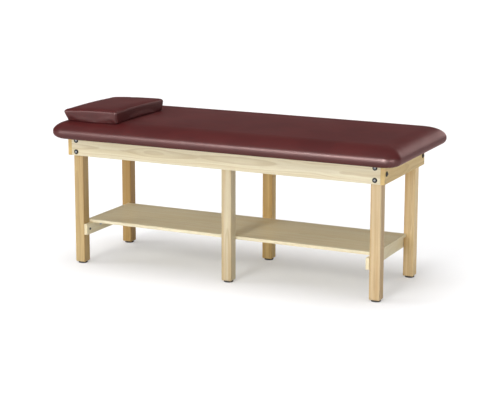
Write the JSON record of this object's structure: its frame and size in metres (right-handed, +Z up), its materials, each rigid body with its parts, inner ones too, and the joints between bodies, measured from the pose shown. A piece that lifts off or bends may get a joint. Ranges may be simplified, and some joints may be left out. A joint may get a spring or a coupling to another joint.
{
  "type": "chiropractic table",
  "caption": "Padded treatment table with a rounded vinyl top, a loose pillow and a bolted wooden frame with square legs and a storage shelf.",
  "frame": {"origin": "on the floor, under the middle of the padded top", "axes": "+X along the table towards the foot end, +Y away from the front, +Z up"},
  "size_m": [1.956, 0.83, 0.863],
  "materials": {
    "frame_wood": "clear satin lacquer",
    "leg_wood": "clear satin lacquer",
    "shelf_wood": "clear satin lacquer",
    "hidden_wood": "plain",
    "vinyl": "soft sheen",
    "foam": "matte",
    "dark_washer": "satin black",
    "bolt_steel": "zinc plated",
    "small_steel": "plain",
    "glide_plastic": "matte"
  },
  "bodies": {
    "table": {"front_apron": "frame_wood", "back_apron": "frame_wood", "head_end_board": "frame_wood", "foot_end_board": "frame_wood", "front_head_leg": "leg_wood", "front_foot_leg": "leg_wood", "front_middle_leg": "leg_wood", "back_head_leg": "leg_wood", "back_foot_leg": "leg_wood", "back_middle_leg": "leg_wood", "shelf_panel": "shelf_wood", "head_stretcher": "shelf_wood", "foot_stretcher": "shelf_wood", "middle_cross_rail": "hidden_wood", "rail_dowels": "hidden_wood", "top_deck": "hidden_wood", "top_cover": "vinyl", "top_foam": "foam", "front_apron_washers": "dark_washer", "back_apron_washers": "dark_washer", "head_end_washers": "dark_washer", "foot_end_washers": "dark_washer", "front_apron_bolts": "bolt_steel", "back_apron_bolts": "bolt_steel", "head_end_bolts": "bolt_steel", "foot_end_bolts": "bolt_steel", "front_apron_nuts": "bolt_steel", "back_apron_nuts": "bolt_steel", "head_end_nuts": "bolt_steel", "foot_end_nuts": "bolt_steel", "head_stretcher_bolts": "bolt_steel", "foot_stretcher_bolts": "bolt_steel", "end_board_nails": "small_steel", "middle_leg_screws": "small_steel", "deck_brackets": "small_steel", "deck_bracket_screws": "small_steel", "shelf_brackets": "small_steel", "shelf_bracket_screws": "small_steel", "front_head_glide": "glide_plastic", "front_middle_glide": "glide_plastic", "front_foot_glide": "glide_plastic", "back_head_glide": "glide_plastic", "back_middle_glide": "glide_plastic", "back_foot_glide": "glide_plastic"},
    "pillow": {"pillow_cover": "vinyl", "pillow_foam": "foam"}
  },
  "joints": [
    {"name": "pillow_lift", "type": "slide", "parent": "table", "child": "pillow", "axis": [0, 0, 1], "range_m": [0, 0.25]}
  ]
}
